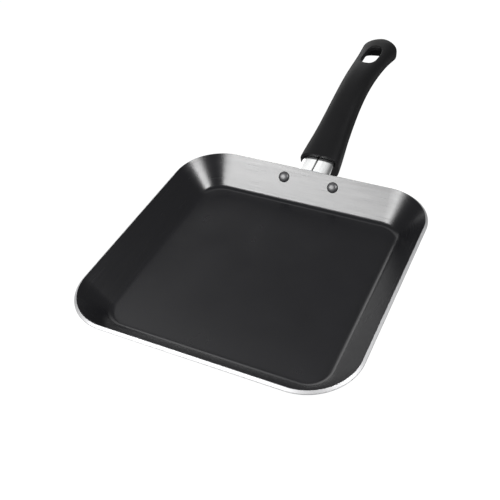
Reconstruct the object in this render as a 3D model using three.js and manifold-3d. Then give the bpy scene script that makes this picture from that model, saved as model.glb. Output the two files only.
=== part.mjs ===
// Square crepe pan: a pressed aluminium tray with a non-stick lining, a folded steel bracket riveted
// to its rear wall, and an arched phenolic grip held on the bracket's neck by one screw from below.
// Millimetres, +Z up. The origin is the centre of the base's underside, and +Y runs towards the grip.
import * as THREE from "three";
import { mergeVertices, toCreasedNormals } from "three/addons/utils/BufferGeometryUtils.js";
import Module from "manifold-3d";

const wasm = await Module();
wasm.setup();

// Pan
const PAN_WIDTH = 240; // across the outer edge of the rim, both ways
const PAN_HEIGHT = 28; // underside to the inner edge of the rim
const SHEET = 3.2; // wall and floor
const WALL_FLARE = THREE.MathUtils.degToRad(41.5); // wall from the vertical
const RIM_CORNER_RADIUS = 44; // outer edge of the rim, in plan
const FLOOR_BEND_RADIUS = 8; // inside the bend between floor and wall
const RIM_EASE = 0.5; // broken edge on the outside of the rim
const LINING = 0.3; // non-stick lining on the inside

// Rivets
const RIVET_SPACING = 48;
const RIVET_HEIGHT = 20; // centre above the underside, on the wall's inner face
const RIVET_SHANK_RADIUS = 2.5;
const RIVET_HEAD_RADIUS = 5;
const RIVET_HEAD_RISE = 2.8;
const RIVET_TAIL_RADIUS = 4.6;
const RIVET_TAIL_RISE = 2;

// Bracket
const BRACKET_SHEET = 1.5;
const EAR_RADIUS = 8.5; // round end about a rivet
const NECK_RISE = THREE.MathUtils.degToRad(11.5); // neck above the horizontal
const NECK_HALF_WIDTH = 15.5;
const NECK_HALF_HEIGHT = 5;
const NECK_TOP_SQUARENESS = 2.5; // superellipse power of its section's upper half
const NECK_UNDER_SQUARENESS = 3; // and of its lower half
const NECK_LIFT = 2.75; // neck's axis above the grip's centreline at the mouth
const NECK_INSERT = 36; // length inside the grip
const NECK_TAPER = 4.5; // how much narrower on each side the insert is at its end
const NECK_STRAIGHT = 3; // of the insert, before it narrows
const NECK_END_CORNER = 3; // taken off the insert's leading corners
const SEAM = 0.6; // gap where the folded edges meet on top
const SEAM_LIP = 0.8; // eased off each edge of the seam

// Grip
const MOUTH_FROM_RIM = 18.6; // grip's front end, on its centreline, behind the rim's outer edge
const MOUTH_BELOW_RIM = 6; // below the rim's inner edge
const TIP_FROM_MOUTH = 188; // grip's rear end behind its front end
const TIP_ABOVE_MOUTH = 25.8;
const GRIP_RISE = THREE.MathUtils.degToRad(17); // centreline above the horizontal at the mouth
const MOUTH_LEAD = 87.3; // how far the centreline keeps that direction
const MOUTH_LEAN = 30; // length over which the sections turn square to the neck
const TIP_LEAD = 102.2; // how far the centreline keeps the tip's direction
const TIP_DROP = THREE.MathUtils.degToRad(5.4); // tip below the horizontal
const GRIP_HALF_WIDTHS = [19.1, 15.7, 14.1, 14.3, 16.2, 19.4]; // evenly spaced from mouth to tip
const GRIP_TOP_HEIGHTS = [11.5, 10.7, 10.2, 9.9, 8.6, 10.8]; // above the centreline, likewise
const GRIP_UNDER_HEIGHTS = [16.2, 13.9, 11.1, 8.7, 7.6, 9.9]; // below it
const GRIP_TOP_SQUARENESS = 2.7; // superellipse power of a cross-section's upper half
const GRIP_UNDER_SQUARENESS = 3.8; // and of its lower half
const TIP_ROUND = 14.3; // length of the rounded end
const TIP_EDGE = 0.78; // share of the height left at the very end
const HOLLOW_LENGTH = 88; // hollow under the tail, from the inside of the end wall
const HOLLOW_ROUND = 14; // its rounded front end
const HOLLOW_WALL = 3.4; // side and end walls round it
const HOLLOW_SKIN = 4.2; // top over it
const HOLLOW_SQUARENESS = 5; // superellipse power of its section
const HOLE_FROM_TIP = 40.5; // centre of the hanging hole, along the centreline
const HOLE_HALF_LENGTH = 18.5;
const HOLE_HALF_WIDTH = 7.4;
const HOLE_SQUARENESS = 2.8; // superellipse power of its outline
const HOLE_LIP = 2; // how much the hole opens at the top

// Grip screw
const SCREW_FROM_MOUTH = 19;
const SCREW_RADIUS = 2.5;
const SCREW_HEAD_RADIUS = 4.2;
const SCREW_HEAD_HEIGHT = 2.6;
const SCREW_SLOT_WIDTH = 1.2;
const SCREW_SLOT_DEPTH = 1.3;
const WASHER_RADIUS = 4.8;
const WASHER_THICKNESS = 1;
const NUT_ACROSS = 9;
const NUT_THICKNESS = 4;
const SCREW_SEAT_WALL = 1.8; // phenolic between the washer and the neck

const GAP = 0.3; // clearance between neighbouring pieces

// Facets
const CORNER_STEPS = 12;
const BEND_STEPS = 6;
const ROUND_SEGMENTS = 28;
const GRIP_STATIONS = 36;
const GRIP_SIDES = 32;
const HOLLOW_STATIONS = 18;

// Solids from geometry, and back
function solidOf(geometry) {
  const bare = geometry.index ? geometry.toNonIndexed() : geometry.clone();
  const points = new THREE.BufferGeometry();
  points.setAttribute("position", bare.getAttribute("position"));
  const merged = mergeVertices(points, 1e-4);
  return new wasm.Manifold(
    new wasm.Mesh({
      numProp: 3,
      vertProperties: merged.attributes.position.array,
      triVerts: new Uint32Array(merged.index.array),
    }),
  );
}

function geometryOf(solid) {
  const mesh = solid.getMesh();
  const geometry = new THREE.BufferGeometry();
  geometry.setAttribute("position", new THREE.BufferAttribute(mesh.vertProperties, mesh.numProp));
  geometry.setIndex(new THREE.BufferAttribute(mesh.triVerts, 1));
  return toCreasedNormals(geometry, Math.PI / 5);
}

// A closed solid from a stack of convex rings with equally many points, each end closed by a fan.
function stackRings(rings) {
  const count = rings[0].length;
  const centreOf = (ring) => ring.reduce((sum, p) => sum.add(p), new THREE.Vector3()).divideScalar(count);
  const points = [...rings.flat(), centreOf(rings[0]), centreOf(rings.at(-1))];
  const [firstCentre, lastCentre] = [points.length - 2, points.length - 1];
  const lastRing = (rings.length - 1) * count;
  const index = [];
  for (let i = 0; i < count; i++) {
    const next = (i + 1) % count;
    for (let r = 0; r < lastRing; r += count) {
      index.push(r + i, r + next, r + count + next, r + i, r + count + next, r + count + i);
    }
    index.push(firstCentre, next, i, lastCentre, lastRing + i, lastRing + next);
  }
  const geometry = new THREE.BufferGeometry().setFromPoints(points);
  geometry.setIndex(index);
  return geometry;
}

function cylinderAlongZ(radius, low, high, segments = ROUND_SEGMENTS) {
  const geometry = new THREE.CylinderGeometry(radius, radius, high - low, segments);
  return geometry.rotateX(Math.PI / 2).translate(0, 0, (low + high) / 2);
}

function steel(colour, roughness) {
  return new THREE.MeshStandardMaterial({ color: colour, metalness: 1, roughness });
}

function piece(name, geometry, material) {
  const mesh = new THREE.Mesh(geometry, material);
  mesh.name = name;
  return mesh;
}

// The tray's section, as distance out from the pan's centre line and height
const outOfWall = new THREE.Vector2(Math.cos(WALL_FLARE), -Math.sin(WALL_FLARE));
const upTheWall = new THREE.Vector2(Math.sin(WALL_FLARE), Math.cos(WALL_FLARE));
const bendAngle = Math.PI / 2 - WALL_FLARE;
const rimInner = new THREE.Vector2(PAN_WIDTH / 2 - SHEET * outOfWall.x, PAN_HEIGHT);
const floorCorner = rimInner.x - (PAN_HEIGHT - SHEET) * Math.tan(WALL_FLARE);
const bendCentre = new THREE.Vector2(
  floorCorner - FLOOR_BEND_RADIUS * Math.tan(bendAngle / 2),
  SHEET + FLOOR_BEND_RADIUS,
);
const cornerCentre = PAN_WIDTH / 2 - RIM_CORNER_RADIUS;

// Floor edge, bend and rim of the surface that lies a given depth outside the tray's inner face
function wallLine(depth) {
  const radius = FLOOR_BEND_RADIUS + depth;
  const line = [];
  for (let i = 0; i <= BEND_STEPS; i++) {
    const turn = (bendAngle * i) / BEND_STEPS;
    line.push(new THREE.Vector2(Math.sin(turn), -Math.cos(turn)).multiplyScalar(radius).add(bendCentre));
  }
  line.push(rimInner.clone().addScaledVector(outOfWall, depth));
  return line;
}

// A rounded square about the pan's centre
function squareRing({ x: reach, y: height }) {
  const radius = reach - cornerCentre;
  const ring = [];
  for (let corner = 0; corner < 4; corner++) {
    const start = (corner * Math.PI) / 2;
    const centre = new THREE.Vector2(cornerCentre, cornerCentre).rotateAround(new THREE.Vector2(), start);
    for (let i = 0; i <= CORNER_STEPS; i++) {
      const turn = start + (i * Math.PI) / 2 / CORNER_STEPS;
      ring.push(
        new THREE.Vector3(centre.x + radius * Math.cos(turn), centre.y + radius * Math.sin(turn), height),
      );
    }
  }
  return ring;
}

function trayGeometry(outerDepth, innerDepth, ease) {
  const outer = wallLine(outerDepth);
  const inner = wallLine(innerDepth);
  const rim = outer.pop();
  const eased = [
    rim.clone().addScaledVector(upTheWall, -ease),
    rim.clone().addScaledVector(outOfWall, -ease),
  ];
  const section = [...outer, ...(ease > 0 ? eased : [rim]), ...inner.reverse()];
  return stackRings(section.map(squareRing));
}

// The wall frame: X along the rear wall, Y up its slope, Z out of its inner face into the tray
const wallFrame = new THREE.Group();
const rivetReach = rimInner.x - (PAN_HEIGHT - RIVET_HEIGHT) * Math.tan(WALL_FLARE);
wallFrame.position.set(0, rivetReach, RIVET_HEIGHT);
wallFrame.rotation.x = Math.PI / 2 - WALL_FLARE;
wallFrame.updateMatrix();
const rivetSides = { left: -1, right: 1 };
const earInner = -SHEET - GAP; // ear's face towards the wall, in the wall frame
const earOuter = earInner - BRACKET_SHEET;

function rivetHole(side, margin) {
  const radius = RIVET_SHANK_RADIUS + GAP;
  const geometry = cylinderAlongZ(radius, earOuter - margin, LINING + margin);
  return geometry.translate((side * RIVET_SPACING) / 2, 0, 0);
}

function withRivetHoles(solid) {
  return Object.values(rivetSides).reduce(
    (cut, side) => cut.subtract(solidOf(rivetHole(side, 1).applyMatrix4(wallFrame.matrix))),
    solid,
  );
}

function panBody() {
  return geometryOf(withRivetHoles(solidOf(trayGeometry(SHEET, 0, RIM_EASE))));
}

function nonstickLining() {
  return geometryOf(withRivetHoles(solidOf(trayGeometry(0, -LINING, 0))));
}

// A solid rivet: domed factory head inside the tray, flatter formed head behind the bracket's ear
function rivet() {
  const headSeat = LINING + GAP;
  const tailSeat = earOuter - GAP;
  const domeSteps = 6;
  const flatness = 0.75; // below 1, the dome is flatter on top and rounder at its edge
  const profile = [new THREE.Vector2(0, tailSeat - RIVET_TAIL_RISE)];
  profile.push(new THREE.Vector2(RIVET_TAIL_RADIUS * 0.6, tailSeat - RIVET_TAIL_RISE));
  profile.push(new THREE.Vector2(RIVET_TAIL_RADIUS, tailSeat - RIVET_TAIL_RISE * 0.4));
  profile.push(new THREE.Vector2(RIVET_TAIL_RADIUS, tailSeat));
  profile.push(new THREE.Vector2(RIVET_SHANK_RADIUS, tailSeat));
  profile.push(new THREE.Vector2(RIVET_SHANK_RADIUS, headSeat));
  for (let i = 0; i < domeSteps; i++) {
    const turn = (i * Math.PI) / 2 / domeSteps;
    profile.push(
      new THREE.Vector2(
        RIVET_HEAD_RADIUS * Math.cos(turn) ** flatness,
        headSeat + RIVET_HEAD_RISE * Math.sin(turn),
      ),
    );
  }
  profile.push(new THREE.Vector2(0, headSeat + RIVET_HEAD_RISE));
  return new THREE.LatheGeometry(profile, ROUND_SEGMENTS).rotateX(Math.PI / 2);
}

// The grip's two ends, as Y and Z on its centreline
const mouth = new THREE.Vector2(PAN_WIDTH / 2 + MOUTH_FROM_RIM, PAN_HEIGHT - MOUTH_BELOW_RIM);
const tip = mouth.clone().add(new THREE.Vector2(TIP_FROM_MOUTH, TIP_ABOVE_MOUTH));

// The neck frame: origin on the neck's axis at the grip's mouth, Z towards the pan, Y up from the neck
const neckFrame = new THREE.Group();
const neckLift = new THREE.Vector2(0, NECK_LIFT).rotateAround(new THREE.Vector2(), NECK_RISE);
neckFrame.position.set(0, mouth.x + neckLift.x, mouth.y + neckLift.y);
neckFrame.rotation.x = Math.PI / 2 + NECK_RISE;
neckFrame.updateMatrix();
const neckReach = (mouth.x - floorCorner) / Math.cos(NECK_RISE); // far enough to pass the wall

// Points round the neck, grown by a margin, from the middle of its top towards the left
function neckPoints(margin) {
  const points = superellipse(NECK_TOP_SQUARENESS, NECK_UNDER_SQUARENESS);
  const quarter = points.length / 4;
  const [w, h] = [NECK_HALF_WIDTH + margin, NECK_HALF_HEIGHT + margin];
  return [...points.slice(quarter), ...points.slice(0, quarter)].map(
    ({ x, y }) => new THREE.Vector2(w * x, h * y),
  );
}

// The neck's section: one sheet folded round, whose eased edges meet in a seam on top
function neckSection() {
  const [half, top] = [SEAM / 2, NECK_HALF_HEIGHT];
  const edge = [
    new THREE.Vector2(half + SEAM_LIP, top),
    new THREE.Vector2(half, top - SEAM_LIP),
    new THREE.Vector2(half, top - BRACKET_SHEET),
  ];
  const farEdge = edge.map(({ x, y }) => new THREE.Vector2(-x, y)).reverse();
  const outside = neckPoints(0).slice(1);
  const inside = neckPoints(-BRACKET_SHEET).slice(1).reverse();
  return new THREE.Shape([...farEdge, ...outside, ...edge, ...inside]);
}

// The neck's outline grown by a margin, without seam or hollow
function neckOutline(margin) {
  return new THREE.Shape(neckPoints(margin));
}

// An ear's outline in the wall frame, from under the neck's rounded side to round about its rivet
function earOutline(side) {
  const root = NECK_HALF_WIDTH / 2;
  const centre = RIVET_SPACING / 2;
  const shape = new THREE.Shape();
  shape.moveTo(side * root, -EAR_RADIUS);
  shape.lineTo(side * centre, -EAR_RADIUS);
  shape.absarc(side * centre, 0, EAR_RADIUS, -Math.PI / 2, Math.PI / 2, side < 0);
  shape.lineTo(side * root, EAR_RADIUS);
  shape.closePath();
  return shape;
}

function extrudeAlongZ(shape, low, high, curveSegments = 6) {
  const options = { depth: high - low, bevelEnabled: false, curveSegments };
  return new THREE.ExtrudeGeometry(shape, options).translate(0, 0, low);
}

// A section run along the neck: straight to just inside the grip, and drawn in from both sides from there
function alongNeck(section, margin) {
  const insert = extrudeAlongZ(section, -NECK_INSERT - margin, -NECK_STRAIGHT);
  const points = insert.getAttribute("position");
  for (let i = 0; i < points.count; i++) {
    const [x, z] = [points.getX(i), Math.round(points.getZ(i) * 1000) / 1000]; // the two runs have to touch
    const share = (-z - NECK_STRAIGHT) / (NECK_INSERT - NECK_STRAIGHT);
    const width = 1 - (share * NECK_TAPER) / (NECK_HALF_WIDTH + margin);
    points.setXYZ(i, x * width, points.getY(i), z);
  }
  return solidOf(insert).add(solidOf(extrudeAlongZ(section, -NECK_STRAIGHT, neckReach)));
}

// Screw places along the neck frame's Y, from the grip's underside up
const washerSeat = -NECK_HALF_HEIGHT - GAP - SCREW_SEAT_WALL;
const washerLow = washerSeat - GAP - WASHER_THICKNESS;
const headTop = washerLow - GAP;
const nutLow = -NECK_HALF_HEIGHT + BRACKET_SHEET + GAP;
const nutHigh = nutLow + NUT_THICKNESS;
const screwPlace = new THREE.Vector3(0, 0, -SCREW_FROM_MOUTH);

// A cylinder about the screw's axis, in the neck frame
function aboutScrew(radius, low, high) {
  const geometry = new THREE.CylinderGeometry(radius, radius, high - low, ROUND_SEGMENTS);
  return geometry.translate(screwPlace.x, (low + high) / 2, screwPlace.z);
}

// Everything on the tray's side of the ears' seating plane, in the wall frame
function wallSide() {
  const size = 4 * PAN_WIDTH;
  return new THREE.BoxGeometry(size, size, size).translate(0, 0, earInner + size / 2);
}

// A prism that takes one leading corner off the neck
function neckEndCorner(side) {
  const shape = new THREE.Shape();
  const outside = NECK_HALF_WIDTH - NECK_TAPER + GAP;
  const end = NECK_INSERT + GAP;
  shape.moveTo(side * outside, -end);
  shape.lineTo(side * outside, NECK_END_CORNER - end);
  shape.lineTo(side * (outside - NECK_END_CORNER), -end);
  shape.closePath();
  return extrudeAlongZ(shape, -2 * NECK_HALF_HEIGHT, 2 * NECK_HALF_HEIGHT).rotateX(Math.PI / 2);
}

function handleBracket() {
  let neck = alongNeck(neckSection(), 0);
  for (const side of Object.values(rivetSides)) {
    neck = neck.subtract(solidOf(neckEndCorner(side)));
  }
  neck = neck.subtract(solidOf(aboutScrew(SCREW_RADIUS + GAP, -2 * NECK_HALF_HEIGHT, 0)));
  let bracket = solidOf(geometryOf(neck).applyMatrix4(neckFrame.matrix));
  bracket = bracket.subtract(solidOf(wallSide().applyMatrix4(wallFrame.matrix)));
  const hollow = extrudeAlongZ(neckOutline(-BRACKET_SHEET), -NECK_INSERT, 2 * neckReach);
  const hollowSolid = solidOf(hollow.applyMatrix4(neckFrame.matrix));
  for (const side of Object.values(rivetSides)) {
    const ear = extrudeAlongZ(earOutline(side), earOuter, earInner, 12).applyMatrix4(wallFrame.matrix);
    bracket = bracket.add(solidOf(ear).subtract(hollowSolid));
  }
  return geometryOf(withRivetHoles(bracket));
}

// The grip's centreline, from mouth to tip, in the plane of symmetry
function gripCurve() {
  const at = (point, lead, angle) =>
    new THREE.Vector3(0, point.x + lead * Math.cos(angle), point.y + lead * Math.sin(angle));
  return new THREE.CubicBezierCurve3(
    at(mouth, 0, 0),
    at(mouth, MOUTH_LEAD, GRIP_RISE),
    at(tip, TIP_LEAD, Math.PI - TIP_DROP),
    at(tip, 0, 0),
  );
}
const centreline = gripCurve();
const gripLength = centreline.getLength();

// A smooth value along the grip through evenly spaced ones
function along(values, share) {
  return new THREE.SplineCurve(values.map((value, i) => new THREE.Vector2(i, value))).getPoint(share).y;
}

// Section axes on the centreline: sideways is X, and up is square to it, or at the mouth to the neck
function gripStation(share) {
  const tangent = centreline.getTangentAt(share);
  const lean = Math.max(0, 1 - (share * gripLength) / MOUTH_LEAN) ** 2;
  tangent.applyAxisAngle(new THREE.Vector3(1, 0, 0), (NECK_RISE - GRIP_RISE) * lean);
  return { centre: centreline.getPointAt(share), up: new THREE.Vector3(0, -tangent.z, tangent.y), tangent };
}

// Points round a superellipse with half axes of 1, whose lower half may be squarer
function superellipse(power, lowerPower = power) {
  return Array.from({ length: GRIP_SIDES }, (_, i) => {
    const turn = (2 * Math.PI * i) / GRIP_SIDES;
    const [c, s] = [Math.cos(turn), Math.sin(turn)];
    const bend = (v) => Math.sign(v) * Math.abs(v) ** (2 / (s > 0 ? power : lowerPower));
    return new THREE.Vector2(bend(c), bend(s));
  });
}

function gripRing(share) {
  const { centre, up } = gripStation(share);
  const intoTip = Math.max(0, 1 - ((1 - share) * gripLength) / TIP_ROUND);
  const plan = Math.sqrt(Math.max(0, 1 - intoTip ** 2));
  const halfWidth = along(GRIP_HALF_WIDTHS, share) * Math.max(plan, 0.12);
  const thinning = TIP_EDGE + (1 - TIP_EDGE) * plan;
  const above = along(GRIP_TOP_HEIGHTS, share) * thinning;
  const below = along(GRIP_UNDER_HEIGHTS, share) * thinning;
  const ring = [];
  for (const { x, y } of superellipse(GRIP_TOP_SQUARENESS, GRIP_UNDER_SQUARENESS)) {
    const point = centre.clone().addScaledVector(up, y * (y > 0 ? above : below));
    point.x = -halfWidth * x;
    ring.push(point);
  }
  return ring;
}

// Stations crowd towards the rounded end
function gripShares() {
  const body = 1 - TIP_ROUND / gripLength;
  const tipStations = 10;
  const shares = [];
  for (let i = 0; i < GRIP_STATIONS - tipStations; i++) {
    shares.push((body * i) / (GRIP_STATIONS - tipStations));
  }
  for (let i = 0; i <= tipStations; i++) {
    shares.push(body + (1 - body) * Math.sin((i * Math.PI) / 2 / tipStations));
  }
  return shares;
}

// The hollow under the tail, from the inside of the end wall forwards, open at the bottom
function tailHollow() {
  const end = gripLength - HOLLOW_WALL;
  const rings = [];
  for (let i = 0; i <= HOLLOW_STATIONS; i++) {
    const run = end - HOLLOW_LENGTH * (0.5 + 0.5 * Math.cos((i * Math.PI) / HOLLOW_STATIONS));
    const share = run / gripLength;
    const intoTip = Math.max(0, 1 - (end - run) / (TIP_ROUND - HOLLOW_WALL));
    const intoFront = Math.max(0, 1 - (run - end + HOLLOW_LENGTH) / HOLLOW_ROUND);
    const plan = Math.sqrt(Math.max(0, (1 - intoTip ** 2) * (1 - intoFront ** 2)));
    const halfWidth = (along(GRIP_HALF_WIDTHS, share) - HOLLOW_WALL) * Math.max(plan, 0.12);
    const roof = along(GRIP_TOP_HEIGHTS, share) - HOLLOW_SKIN;
    const depth = roof + 2 * along(GRIP_UNDER_HEIGHTS, share);
    const { centre, up } = gripStation(share);
    const ring = superellipse(HOLLOW_SQUARENESS).map(({ x, y }) => {
      const point = centre.clone().addScaledVector(up, roof + (depth * (y - 1)) / 2);
      point.x = -halfWidth * x;
      return point;
    });
    rings.push(ring);
  }
  return stackRings(rings);
}

// The hanging hole's cutter, square to the centreline, through the top into the hollow
function hangingHole() {
  const share = 1 - HOLE_FROM_TIP / gripLength;
  const { centre, up, tangent } = gripStation(share);
  const top = along(GRIP_TOP_HEIGHTS, share);
  const levels = [
    [top - 2 * HOLLOW_SKIN, 0],
    [top - HOLE_LIP, 0],
    [top + HOLE_LIP, 2 * HOLE_LIP],
  ];
  const rings = levels.map(([level, grow]) =>
    superellipse(HOLE_SQUARENESS).map(({ x, y }) => {
      const point = centre.clone().addScaledVector(up, level);
      point.addScaledVector(tangent, (HOLE_HALF_LENGTH + grow) * y);
      point.x = (HOLE_HALF_WIDTH + grow) * x;
      return point;
    }),
  );
  return stackRings(rings);
}

function handleGrip() {
  let grip = solidOf(stackRings(gripShares().map(gripRing)));
  const socket = geometryOf(alongNeck(neckOutline(GAP), GAP));
  const counterbore = aboutScrew(WASHER_RADIUS + GAP, -4 * NECK_HALF_HEIGHT, washerSeat);
  const screwHole = aboutScrew(SCREW_RADIUS + GAP, -4 * NECK_HALF_HEIGHT, 0);
  for (const cutter of [socket, counterbore, screwHole]) {
    grip = grip.subtract(solidOf(cutter.applyMatrix4(neckFrame.matrix)));
  }
  return geometryOf(grip.subtract(solidOf(tailHollow())).subtract(solidOf(hangingHole())));
}

// A slotted cheese-head screw, head down
function gripScrew() {
  const shank = solidOf(aboutScrew(SCREW_RADIUS, headTop - GAP, nutHigh + 1));
  const head = solidOf(aboutScrew(SCREW_HEAD_RADIUS, headTop - SCREW_HEAD_HEIGHT, headTop));
  const slot = new THREE.BoxGeometry(SCREW_SLOT_WIDTH, 2 * SCREW_SLOT_DEPTH, 3 * SCREW_HEAD_RADIUS);
  slot.translate(screwPlace.x, headTop - SCREW_HEAD_HEIGHT, screwPlace.z);
  return geometryOf(head.add(shank).subtract(solidOf(slot)));
}

function screwWasher() {
  const disc = aboutScrew(WASHER_RADIUS, washerLow, washerLow + WASHER_THICKNESS);
  const bore = aboutScrew(SCREW_RADIUS + GAP, washerLow - 1, washerSeat + 1);
  return geometryOf(solidOf(disc).subtract(solidOf(bore)));
}

// A square nut lying on the neck's floor
function squareNut() {
  const block = new THREE.BoxGeometry(NUT_ACROSS, NUT_THICKNESS, NUT_ACROSS);
  block.translate(screwPlace.x, (nutLow + nutHigh) / 2, screwPlace.z);
  const bore = aboutScrew(SCREW_RADIUS + GAP, nutLow - 1, nutHigh + 1);
  return geometryOf(solidOf(block).subtract(solidOf(bore)));
}

// Finishes
const polishedAluminium = steel(0xd9dadb, 0.28);
const nonstickBlack = new THREE.MeshStandardMaterial({ color: 0x242425, metalness: 0.1, roughness: 0.35 });
const plainSteel = steel(0xc9cbcd, 0.3);
const rivetAluminium = steel(0xb4b6b8, 0.32);
const phenolicBlack = new THREE.MeshStandardMaterial({ color: 0x1f1f20, metalness: 0, roughness: 0.55 });

// Assembly
const pan = new THREE.Group();
pan.add(piece("pan_body", panBody(), polishedAluminium));
pan.add(piece("nonstick_lining", nonstickLining(), nonstickBlack));
pan.add(piece("handle_bracket", handleBracket(), plainSteel));
pan.add(piece("handle_grip", handleGrip(), phenolicBlack));

for (const [name, side] of Object.entries(rivetSides)) {
  const mesh = piece(`rivet_${name}`, rivet(), rivetAluminium);
  mesh.position.x = (side * RIVET_SPACING) / 2;
  wallFrame.add(mesh);
}
neckFrame.add(piece("grip_screw", gripScrew(), plainSteel));
neckFrame.add(piece("screw_washer", screwWasher(), plainSteel));
neckFrame.add(piece("square_nut", squareNut(), plainSteel));
pan.add(wallFrame, neckFrame);

export default pan;
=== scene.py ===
import math
from bisect import bisect_right

import bmesh
import bpy
from mathutils import Matrix, Vector


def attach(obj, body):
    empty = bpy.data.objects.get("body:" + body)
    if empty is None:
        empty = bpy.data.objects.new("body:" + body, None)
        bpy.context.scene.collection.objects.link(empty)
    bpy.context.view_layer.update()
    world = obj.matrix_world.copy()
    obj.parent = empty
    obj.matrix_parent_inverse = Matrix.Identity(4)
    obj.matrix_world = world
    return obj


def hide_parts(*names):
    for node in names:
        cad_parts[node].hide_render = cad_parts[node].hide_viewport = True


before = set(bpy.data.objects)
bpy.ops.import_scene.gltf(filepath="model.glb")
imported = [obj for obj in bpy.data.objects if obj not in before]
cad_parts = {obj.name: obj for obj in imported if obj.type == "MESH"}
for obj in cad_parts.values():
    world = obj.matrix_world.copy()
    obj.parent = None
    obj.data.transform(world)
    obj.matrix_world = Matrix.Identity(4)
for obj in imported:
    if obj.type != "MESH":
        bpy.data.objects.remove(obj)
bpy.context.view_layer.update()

# Pan body: a square tray pressed from one aluminium sheet, 240 mm across the rim, with walls flared
# at 41.5 degrees. The rim is cut square to the wall after coating, so it shows bare metal, and the
# outside is left satin.
MM = 0.001
PAN_HALF = 120 * MM
PAN_HEIGHT = 28 * MM
SHEET = 3.2 * MM
WALL_FLARE = math.radians(41.5)
RIM_CORNER_RADIUS = 44 * MM
RIM_OUTER_ROUND = 0.6 * MM
RIM_INNER_ROUND = 0.25 * MM
RIM_LEAST_UP = 0.2
RIM_LEAST_OUT = 0.3
FLOOR_BEND_RADIUS = 8 * MM
FLAT_MARGIN = 2 * MM
WALL_FOOT = 1 * MM
CORNER_STEPS = 28
WELD = 0.01 * MM
out_of_wall = Vector((math.cos(WALL_FLARE), -math.sin(WALL_FLARE)))
up_the_wall = Vector((math.sin(WALL_FLARE), math.cos(WALL_FLARE)))
bend_angle = math.pi / 2 - WALL_FLARE
rim_inner = Vector((PAN_HALF - SHEET * out_of_wall.x, PAN_HEIGHT))
floor_corner = rim_inner.x - (PAN_HEIGHT - SHEET) * math.tan(WALL_FLARE)
floor_edge = floor_corner - FLOOR_BEND_RADIUS * math.tan(bend_angle / 2)
flat_edge = floor_edge - FLAT_MARGIN
flat_corner_radius = RIM_CORNER_RADIUS - PAN_HALF + flat_edge


def linear(hex_colour):
    """An sRGB hex colour as linear RGBA."""
    channels = [int(hex_colour[i : i + 2], 16) / 255 for i in (1, 3, 5)]
    return [c / 12.92 if c <= 0.04045 else ((c + 0.055) / 1.055) ** 2.4 for c in channels] + [1]


def add(tree, kind, inputs=(), **settings):
    """Adds a node with its settings, and a value or a link on each input, by its name or number."""
    node = tree.nodes.new(kind)
    for name, value in settings.items():
        setattr(node, name, value)
    for name, value in dict(inputs).items():
        if isinstance(value, bpy.types.NodeSocket):
            tree.links.new(value, node.inputs[name])
        else:
            node.inputs[name].default_value = value
    return node


def new_material(name):
    """An empty node material, with its node tree."""
    material = bpy.data.materials.new(name)
    material.use_nodes = True
    material.node_tree.nodes.clear()
    return material, material.node_tree


# Satin aluminium: fine streaks run round the tray from pressing and polishing. They lie about 0.4 mm
# apart on the real sheet, and are drawn at 0.8 mm so that they show. Soft clouds vary its tone.
SATIN_STREAK_GAP = 0.8 * MM
SATIN_STREAK_LENGTH = 83.3 * MM
SATIN_CLOUD = 25 * MM
# Noise lies mostly between these two values.
NOISE_LOW = 0.3
NOISE_HIGH = 0.7
satin_aluminium, tree = new_material("satin_aluminium")
coords = add(tree, "ShaderNodeTexCoord").outputs["Object"]
squeeze = add(
    tree,
    "ShaderNodeMapping",
    {"Vector": coords, "Scale": (1 / SATIN_STREAK_LENGTH, 1 / SATIN_STREAK_LENGTH, 1 / SATIN_STREAK_GAP)},
)
streaks = add(tree, "ShaderNodeTexNoise", {"Vector": squeeze.outputs[0], "Scale": 1, "Detail": 3})
clouds = add(tree, "ShaderNodeTexNoise", {"Vector": coords, "Scale": 1 / SATIN_CLOUD, "Detail": 2})
tone = add(
    tree,
    "ShaderNodeMix",
    {"Factor": clouds.outputs[0], "A": linear("#d2d3d5"), "B": linear("#dcdddf")},
    data_type="RGBA",
)
rough = add(
    tree,
    "ShaderNodeMapRange",
    {
        "Value": streaks.outputs[0],
        "From Min": NOISE_LOW,
        "From Max": NOISE_HIGH,
        "To Min": 0.24,
        "To Max": 0.38,
    },
)
relief = add(
    tree, "ShaderNodeBump", {"Height": streaks.outputs[0], "Strength": 0.12, "Distance": 0.2 * MM}
)
shader = add(
    tree,
    "ShaderNodeBsdfPrincipled",
    {
        "Base Color": tone.outputs["Result"],
        "Metallic": 1.0,
        "Roughness": rough.outputs[0],
        "Normal": relief.outputs[0],
    },
)
add(tree, "ShaderNodeOutputMaterial", {"Surface": shader.outputs[0]})


def cut_metal(name, colour):
    """A sheet's cut edge, which is duller than its faces and scatters light more widely."""
    material, tree = new_material(name)
    shader = add(
        tree,
        "ShaderNodeBsdfPrincipled",
        {"Base Color": linear(colour), "Metallic": 1.0, "Roughness": 0.6},
    )
    add(tree, "ShaderNodeOutputMaterial", {"Surface": shader.outputs[0]})
    return material


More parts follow.
